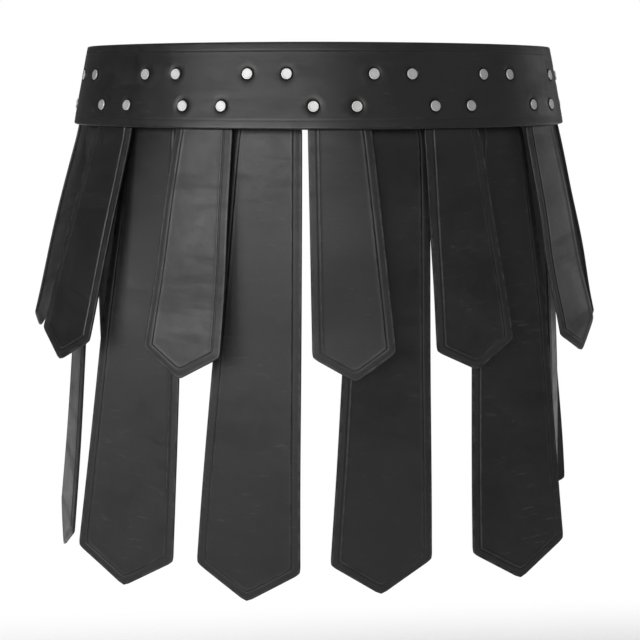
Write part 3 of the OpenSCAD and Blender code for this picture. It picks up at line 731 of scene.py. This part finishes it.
def chapePath():
    # Outer ply, round the bar, inner ply, as places along the band and heights at even steps, with
    # two moving means that round the path's corners.
    r, level, shape = closing["loopRadius"], closing["barLevel"], chapeShape
    start = bandEnd - closing["lap"]
    turn = np.radians(np.linspace(shape["loopFrom"], shape["loopTo"], shape["loopPoints"]))
    back = level + r - closing["plyThick"] - closing["plyGap"]
    s = np.concatenate([[start], barPlace + r * np.cos(turn), [barPlace - shape["innerStart"], start]])
    high = np.concatenate([[level + r], level + r * np.sin(turn), [back, back]])
    run = np.concatenate([[0], np.cumsum(np.hypot(np.diff(s), np.diff(high)))])
    even = np.linspace(0, run[-1], shape["rows"])
    s, high = np.interp(even, run, s), np.interp(even, run, high)
    mean = np.ones(shape["smoothOver"]) / shape["smoothOver"]
    edge = shape["smoothOver"] // 2
    for smoothing in range(2):
        s[edge:-edge] = np.convolve(s, mean, "valid")
        high[edge:-edge] = np.convolve(high, mean, "valid")
    return even, s, high


def chape(up, word):
    # A strip carried along the chape's path, offset along the path's normal.
    run, pathS, pathHigh = chapePath()
    length = run[-1]
    normalS = -np.gradient(pathHigh, run)
    normalHigh = np.gradient(pathS, run)
    size = np.hypot(normalS, normalHigh)
    normalS, normalHigh = normalS / size, normalHigh / size

    def inLoop(x):
        # 0 on the band, 1 round the bar, smooth between.
        return smooth((np.interp(x, run, pathS) - barPlace + chapeShape["easeFrom"]) / chapeShape["easeRun"])

    def limit(x):
        # Half width: less round the bar, with rounded corners at both ends.
        corner = cornerInset(closing["chapeCorner"], np.minimum(x, length - x))
        return closing["wide"] / 2 - closing["loopIn"] * inLoop(x) - corner

    def place(x, y, h):
        # The path's place and height plus the offset along its normal; the loop shifts up as it
        # goes outwards, square to the band's slope.
        s = np.interp(x, run, pathS) + h * np.interp(x, run, normalS)
        high = np.interp(x, run, pathHigh) + h * np.interp(x, run, normalHigh)
        drift = (high * closePitch - closing["loopLevel"] * closePitch) * inLoop(x)
        z = up * rivets["tieRise"] + y * math.cos(slope) + drift
        return spotAt(s, faceOut(0, z) + high, z)
    outer, inner = np.s_[:chapeShape["outerRows"]], np.s_[chapeShape["innerRow"]:]
    slotEnd = barPlace - closing["slotReach"]
    slot = [np.interp(slotEnd, pathS[outer], run[outer]), np.interp(-slotEnd, -pathS[inner], run[inner])]
    holes = [(sum(slot) / 2, 0.0)]
    spots = [(s - (bandEnd - closing["lap"]), 0.0) for s, z in tieSpots if z * up > 0]
    return tieStrip(word + "Chape", word + "_chape", length, limit, place, closing["plyThick"], holes,
                    slot[1] - slot[0], 51 + up, spots)


def keeper(up, word):
    # A narrow strip bent into a box of four quarter circles round the chape and the billet; its
    # ends meet inside.
    t, seam = closing["keeperThick"], closing["keeperSeam"]
    low, high = closing["keeperLow"] - t / 2, closing["keeperHigh"] + t / 2
    half, r = closing["keeperInside"] / 2 + t / 2, closing["keeperCorner"]
    quarter = np.radians(np.linspace(0, 90, 12))
    corners = [(half - r, low + r, -90), (half - r, high - r, 0)]
    corners += [(-half + r, high - r, 90), (-half + r, low + r, 180)]
    across = [cx + r * np.cos(quarter + math.radians(a)) for cx, cy, a in corners]
    above = [cy + r * np.sin(quarter + math.radians(a)) for cx, cy, a in corners]
    across = np.concatenate([[seam], *across, [-seam]])
    above = np.concatenate([[low], *above, [low]])
    run = np.concatenate([[0], np.cumsum(np.hypot(np.diff(across), np.diff(above)))])
    origin, along, out, rise = capFrame(bandEnd + closing["keeperReach"], up * rivets["tieRise"], 0.0)
    outAcross, outAbove = np.gradient(above, run), -np.gradient(across, run)
    size = np.hypot(outAcross, outAbove)
    outAcross, outAbove = outAcross / size, outAbove / size

    def place(x, y, h):
        # The box's point plus the offset along its normal, in the frame of the band's face.
        a = np.interp(x, run, across) + h * np.interp(x, run, outAcross) - closing["keeperDrop"]
        n = np.interp(x, run, above) + h * np.interp(x, run, outAbove)
        return origin + rise * a[..., None] + out * n[..., None] + along * y[..., None]
    half = closing["keeperWide"] / 2
    ends, step = np.array([0, 0.1, 0.3]), tieGrid["keeperStep"]
    x = np.concatenate([ends, spaced(0.6, run[-1] - 0.6, [], step, step), run[-1] - ends[::-1]])
    edge = tieEdge[:-2]
    y = np.concatenate([-(half - edge), [-0.6, 0, 0.6], (half - edge)[::-1]])
    x, y = np.repeat(x[:, None], len(y), 1), np.repeat(y[None], len(x), 0)
    d = np.clip(half - np.abs(y), 0, None)
    d[0], d[-1], d[:, 0], d[:, -1] = 0, 0, 0, 0
    piece = slab(word + "Keeper", x, y, d, place, t, closing["groove"], 61 + up, {"rivet": 0 * x + farAway},
                 fine=closing["fine"])
    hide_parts(word + "_keeper")
    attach(piece, word + "_keeper")
    return piece


ties = [make(up, word) for up, word in ((1, "upper"), (-1, "lower")) for make in (billet, chape, keeper)]
print("closing straps built:", len(ties))


# Materials

# A shader socket with arithmetic: a + b, a * b and so on make a Math node and hold its output.
class Value:
    def __init__(self, paint, socket):
        self.paint, self.socket = paint, socket

    def maths(self, operation, other=None, swap=False):
        # A Math node on this value and the other, in turned order where swap is set.
        inputs = [other, self] if swap else [self, other]
        given = {i: v for i, v in enumerate(inputs) if v is not None}
        return self.paint.node("ShaderNodeMath", {"operation": operation}, given)

    def __add__(self, other):
        return self.maths("ADD", other)

    def __radd__(self, other):
        return self.maths("ADD", other, swap=True)

    def __sub__(self, other):
        return self.maths("SUBTRACT", other)

    def __rsub__(self, other):
        return self.maths("SUBTRACT", other, swap=True)

    def __mul__(self, other):
        return self.maths("MULTIPLY", other)

    def __rmul__(self, other):
        return self.maths("MULTIPLY", other, swap=True)

    def __truediv__(self, other):
        return self.maths("DIVIDE", other)

    def __rtruediv__(self, other):
        return self.maths("DIVIDE", other, swap=True)

    def __pow__(self, other):
        return self.maths("POWER", other)

    def __neg__(self):
        return self.maths("MULTIPLY", -1.0)

    def bell(self, at, wide):
        # exp(-((v - at) / wide) squared)
        return (-(((self - at) / wide) ** 2.0)).maths("EXPONENT")

    def ramp(self, low, high):
        # 0 below low, 1 above high, smooth between
        settings = {"interpolation_type": "SMOOTHSTEP"}
        return self.paint.node("ShaderNodeMapRange", settings, {0: self, 1: low, 2: high, 3: 0.0, 4: 1.0})


# One material: its Principled shader, and every node behind it.
class Paint:
    def __init__(self, name):
        self.material = bpy.data.materials.new(name)
        self.material.use_nodes = True
        self.tree = self.material.node_tree
        self.tree.nodes.clear()
        self.surface = self.tree.nodes.new("ShaderNodeBsdfPrincipled")
        self.output = self.tree.nodes.new("ShaderNodeOutputMaterial")
        self.tree.links.new(self.surface.outputs[0], self.output.inputs[0])

    def node(self, kind, settings=None, inputs=None, output=0):
        # Any node: its settings first, then the values or links of its sockets.
        made = self.tree.nodes.new(kind)
        for key, value in (settings or {}).items():
            setattr(made, key, value)
        for key, value in (inputs or {}).items():
            self.set(made.inputs[key], value)
        return Value(self, made.outputs[output])

    def set(self, socket, value):
        # A link from a value, or the plain number or colour itself.
        if isinstance(value, Value):
            self.tree.links.new(value.socket, socket)
        else:
            socket.default_value = value

    def attribute(self, name, vector=False):
        # A piece's own attribute, as a vector or as a number.
        return self.node("ShaderNodeAttribute", {"attribute_name": name}, output=1 if vector else 2)

    def noise(self, where, scale, detail, rough=0.5):
        # Fractal noise: each of the detail's octaves is as strong as the last one times rough.
        inputs = {"Vector": where, "Scale": scale, "Detail": detail, "Roughness": rough}
        return self.node("ShaderNodeTexNoise", None, inputs)

    def stretched(self, where, scale):
        # Coordinates multiplied by three scales, so that a noise of scale 1 is drawn out.
        return self.node("ShaderNodeMapping", None, {"Vector": where, "Scale": scale})

    def mixColour(self, factor, first, second):
        # First times one minus the factor, plus second times the factor.
        first, second = ((*c, 1) if isinstance(c, tuple) else c for c in (first, second))
        return self.node("ShaderNodeMix", {"data_type": "RGBA"}, {0: factor, 6: first, 7: second}, output=2)

    def bump(self, height, distance, strength):
        # A normal leaning with the slope of the height times the distance.
        inputs = {"Height": height, "Distance": distance, "Strength": strength}
        return self.node("ShaderNodeBump", None, inputs)


leatherLook = {
    "dark": (0.0042, 0.0042, 0.0044),
    "light": (0.0078, 0.0078, 0.008),
    "wearAndHighlight": (0.034, 0.034, 0.035),        # fine scratches, and the painted highlight on edges and beside the crease
    "hole": (0.0015, 0.0015, 0.0015),     # painted shade in the gap round a cap and at a hole's rim
    "rough": 0.47,
    "specular": 0.4,
    "grain": 1300.0,                      # noise scales, per metre
    "cloud": 22.0,
    "mottle": 120.0,
    "streak": (75.0, 320.0, 60.0),
    "scuff": (9.0, 62.0, 20.0),
    "bump": 0.00035,                      # metres
}
metalLook = {
    "cap": {"name": "capNickel", "tone": (0.7, 0.7, 0.69), "rough": 0.62},
    "post": {"name": "postNickel", "tone": (0.78, 0.78, 0.77), "rough": 0.4},
    "wire": {"name": "buckleNickel", "tone": (0.72, 0.72, 0.71), "rough": 0.24},
    "cloud": 240.0,                       # noise scales, per metre
    "scratch": (300.0, 2600.0, 900.0),
    "bump": 0.00004,                      # metres
}


def shaded(tone, share):
    # A tone multiplied by a share.
    return tuple(v * share for v in tone)


def leatherPaint(name, ringed=False):
    # Tone and roughness follow a wide and a fine noise; scratches, scuffs, the burnished edge, the
    # creased line with painted shade along it, painted highlight lines on the edge and beside the crease,
    # and the raw back each mix in by their own mask. A ringed leather has fainter lines, and a ring of
    # painted shade round each cap and along each hole's rim.
    p, look = Paint(name), leatherLook
    where = p.attribute("hide", vector=True)
    grain = p.noise(where, look["grain"], 2.0)
    cloud = p.noise(where, look["cloud"], 4.0, 0.55)
    mottle = p.noise(where, look["mottle"], 4.0, 0.6)
    streak = p.noise(p.stretched(where, look["streak"]), 1.0, 3.0, 0.62).ramp(0.58, 0.72)
    scuff = p.noise(p.stretched(where, look["scuff"]), 1.0, 4.0, 0.6).ramp(0.48, 0.68)
    tone = cloud * 0.6 + mottle * 0.4
    wearAndHighlight = streak * cloud.ramp(0.42, 0.6)
    colour = p.mixColour(tone.ramp(0.3, 0.7), look["dark"], look["light"])
    colour = p.mixColour(wearAndHighlight * 0.5, colour, look["wearAndHighlight"])
    roughness = look["rough"] + (tone - 0.5) * 0.45 + wearAndHighlight * 0.08 + (scuff - 0.35) * 0.09

    edge, side = p.attribute("edge"), p.attribute("side")
    rim = 1.0 - edge.ramp(0.8, 2.4)
    # Painted shade: a dark line along the creased groove, fainter on a ringed leather.
    crease = edge.bell(leather["creaseAt"], 0.55) * side * (0.4 if ringed else 1.0)
    # Painted highlight: a pale line on the burnished outer edge and on the raised line inside the crease,
    # broken up by the mottle.
    paintedHighlight = edge.bell(1.1, 0.7) + edge.bell(leather["creaseAt"] + 1.1, 0.5) * 0.8
    paintedHighlight = paintedHighlight * mottle.ramp(0.42, 0.6) * side
    border = 1.0 - edge.ramp(leather["creaseAt"] - 1.2, leather["creaseAt"])
    colour = p.mixColour(rim * 0.6, colour, shaded(look["dark"], 0.45))
    colour = p.mixColour(crease * (0.25 if ringed else 0.5), colour, shaded(look["dark"], 0.3))
    colour = p.mixColour(paintedHighlight * (0.2 if ringed else 0.75), colour, look["wearAndHighlight"])
    colour = p.mixColour((1.0 - side) * 0.5, colour, shaded(look["light"], 1.6))
    roughness = roughness + border * (0.02 if ringed else 0.07) - rim * 0.1 + (1.0 - side) * 0.25
    if ringed:
        # Painted shade: a near-black, rougher ring in the gap round each cap and along each hole's rim.
        ring = 1.0 - p.attribute("rivet").ramp(dimple["ring"] - 0.15, dimple["ring"] + 0.45)
        colour = p.mixColour(ring * 0.92, colour, look["hole"])
        roughness = roughness + ring * 0.6
    p.set(p.surface.inputs["Base Color"], colour)
    p.set(p.surface.inputs["Roughness"], roughness)
    p.set(p.surface.inputs["Specular IOR Level"], look["specular"])
    p.set(p.surface.inputs["Normal"], p.bump(grain * 0.3 + mottle * 0.45 + wearAndHighlight * 0.2, look["bump"], 0.5))
    return p.material


def metalPaint(kind, rimmed=False):
    # Tone, roughness and bump follow a cloudy and a drawn-out noise; a rimmed metal has painted shade
    # in the groove inside its rim, and is darker in its middle.
    look = metalLook[kind]
    p = Paint(look["name"])
    where = p.node("ShaderNodeTexCoord", output=3)
    cloud = p.noise(where, metalLook["cloud"], 4.0, 0.6)
    scratch = p.noise(p.stretched(where, metalLook["scratch"]), 1.0, 3.0, 0.7)
    shade = (cloud * 0.65 + scratch * 0.35).ramp(0.3, 0.7)
    colour = p.mixColour(shade, shaded(look["tone"], 0.82), look["tone"])
    if rimmed:
        ring, radius = p.attribute("ring"), rivets["capWide"] / 2
        # Painted shade in the groove where the middle steps up to the rim; the middle is darker too.
        groove = ring.bell(capShape["groove"] * radius, 0.3)
        inner = 1.0 - ring.ramp(0.6 * radius, capShape["groove"] * radius)
        colour = p.mixColour(groove * 0.6 + inner * 0.3, colour, shaded(look["tone"], 0.45))
    p.set(p.surface.inputs["Base Color"], colour)
    p.set(p.surface.inputs["Metallic"], 1.0)
    p.set(p.surface.inputs["Roughness"], look["rough"] + (cloud - 0.5) * 0.2)
    p.set(p.surface.inputs["Normal"], p.bump(scratch * 0.4 + cloud * 0.6, metalLook["bump"], 0.5))
    return p.material


def dress(piece, material):
    # The piece's only material.
    piece.data.materials.clear()
    piece.data.materials.append(material)


strapPaint = leatherPaint("strapLeather")
bandPaint = leatherPaint("bandLeather", ringed=True)
tiePaint = leatherPaint("tieLeather", ringed=True)
capPaint = metalPaint("cap", rimmed=True)
postPaint = metalPaint("post")
wirePaint = metalPaint("wire")
for piece in straps:
    dress(piece, strapPaint)
dress(waistBand, bandPaint)
for piece in capPieces:
    dress(piece, capPaint)
for piece in ties:
    dress(piece, tiePaint)
for name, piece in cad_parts.items():
    if any(word in name for word in ("buckle", "roller", "prong")):
        dress(piece, wirePaint)
    elif "rivet" in name:
        dress(piece, postPaint)
print("materials set")

# Floor, light and camera

studio = {
    "floorZ": -0.56,       # metres
    "floorTone": 0.95,
    "floorWide": 6.0,      # radius of the floor, metres
    "wallFrom": 3.2,       # radius from which the floor rises, metres
    "wallRate": 0.7,       # how fast it rises
    "rings": 48,           # rings of the floor, and points round each
    "around": 96,
    "whiteFrom": -0.06,    # y from which the floor behind the belt turns into plain white, metres
    "whiteTo": 0.14,
    "whiteHalf": 0.42,     # half width of the white stretch at y = 0, metres
    "whiteSpread": 0.29,   # how fast it widens towards the back
    "whiteLean": 0.054,    # how fast its middle moves aside towards the back
    "whiteFade": 0.3,      # width over which it ends at its sides, metres
    "ambient": 0.11,
    "aimAt": (0, 0, -0.15),
    # x, y, z, width and height in metres, watts
    "key": (-0.9, -1.0, 0.2, 0.6, 0.6, 9.0),
    "front": (-0.28, -1.32, 0.2, 0.6, 0.6, 7.8),
    "fill": (1.1, -0.85, 0.5, 1.4, 1.0, 2.0),
    "top": (0.0, 0.5, 1.7, 1.6, 1.6, 16.0),
    "rim": (1.25, 0.5, 0.0, 0.35, 0.8, 1.2),
}


def floor():
    # A disc of rings: beyond the flat part it rises by the square of the distance, so that no
    # horizon shows.
    n = studio["around"]
    radius = np.linspace(0, studio["floorWide"], studio["rings"] + 1)[1:]
    turn = np.linspace(0, 2 * math.pi, n, endpoint=False)
    far, angle = np.meshgrid(radius, turn, indexing="ij")
    high = studio["floorZ"] + studio["wallRate"] * np.clip(far - studio["wallFrom"], 0, None) ** 2
    rings = np.stack([far * np.cos(angle), far * np.sin(angle), high], -1).reshape(-1, 3)
    step = np.arange(n)
    beside = (step + 1) % n
    inner = 1 + np.arange(studio["rings"] - 1)[:, None] * n
    quads = np.stack([inner + step, inner + n + step, inner + n + beside, inner + beside], -1).reshape(-1, 4)
    middle = np.stack([0 * step, 1 + step, 1 + beside], -1)
    mesh = bpy.data.meshes.new("floor")
    mesh.from_pydata([(0, 0, studio["floorZ"]), *rings.tolist()], [], middle.tolist() + quads.tolist())
    mesh.polygons.foreach_set("use_smooth", [True] * len(mesh.polygons))
    piece = bpy.data.objects.new("floor", mesh)
    bpy.context.scene.collection.objects.link(piece)
    dress(piece, floorPaint())


def floorPaint():
    # Pale paint near the belt, and plain white behind it for what the camera and mirrors see.
    p = Paint("floorPaint")
    tone = studio["floorTone"]
    where = p.node("ShaderNodeTexCoord", output=3)
    speck = p.noise(where, 60.0, 2.0)
    p.set(p.surface.inputs["Base Color"], p.mixColour(speck, (tone, tone, tone), (tone * 0.98,) * 3))
    p.set(p.surface.inputs["Roughness"], 0.9)
    p.set(p.surface.inputs["Specular IOR Level"], 0.1)
    across, back = (p.node("ShaderNodeSeparateXYZ", None, {0: where}, output=n) for n in (0, 1))
    # outside: distance from the white stretch's leaning middle, less how much it has widened
    outside = (across - back * studio["whiteLean"]).maths("ABSOLUTE") - back * studio["whiteSpread"]
    behind = back.ramp(studio["whiteFrom"], studio["whiteTo"])
    behind = behind * (1.0 - outside.ramp(studio["whiteHalf"], studio["whiteHalf"] + studio["whiteFade"]))
    kinds = ("Is Camera Ray", "Is Glossy Ray", "Is Transmission Ray")
    rays = [p.node("ShaderNodeLightPath", output=kind) for kind in kinds]
    seen = rays[0].maths("MAXIMUM", rays[1]).maths("MAXIMUM", rays[2])
    white = p.tree.nodes.new("ShaderNodeEmission")
    mix = p.node("ShaderNodeMixShader", None, {0: behind * seen})
    p.tree.links.new(p.surface.outputs[0], mix.socket.node.inputs[1])
    p.tree.links.new(white.outputs[0], mix.socket.node.inputs[2])
    p.tree.links.new(mix.socket, p.output.inputs[0])
    return p.material


def aim(piece, target):
    # Turned so that its own -Z points along the target less its place.
    direction = Vector(target) - piece.location
    piece.rotation_euler = direction.to_track_quat("-Z", "Y").to_euler()


def lamp(name):
    # A rectangular lamp from its row in the studio.
    x, y, z, wide, high, watts = studio[name]
    data = bpy.data.lights.new(name, "AREA")
    data.shape, data.size, data.size_y, data.energy = "RECTANGLE", wide, high, watts
    piece = bpy.data.objects.new(name, data)
    piece.location = (x, y, z)
    piece.visible_camera = False
    bpy.context.scene.collection.objects.link(piece)
    aim(piece, studio["aimAt"])


floor()
for name in ("key", "front", "fill", "top", "rim"):
    lamp(name)

world = bpy.data.worlds.new("studio")
bpy.context.scene.world = world
world.use_nodes = True
sky = world.node_tree.nodes["Background"]
sky.inputs["Color"].default_value = (1, 1, 1, 1)
sky.inputs["Strength"].default_value = studio["ambient"]

camera = {
    "place": (-0.0539, -0.997, 0.0017),    # metres
    "turn": (78.0, 0.0, -3.1),             # degrees
    "lens": 62.6,                          # mm on a 36 mm sensor
}
data = bpy.data.cameras.new("camera")
data.lens, data.sensor_width = camera["lens"], 36.0
view = bpy.data.objects.new("camera", data)
view.location = camera["place"]
view.rotation_euler = [math.radians(v) for v in camera["turn"]]
bpy.context.scene.collection.objects.link(view)
bpy.context.scene.camera = view
bpy.context.scene.view_settings.view_transform = "Standard"
print("studio set")
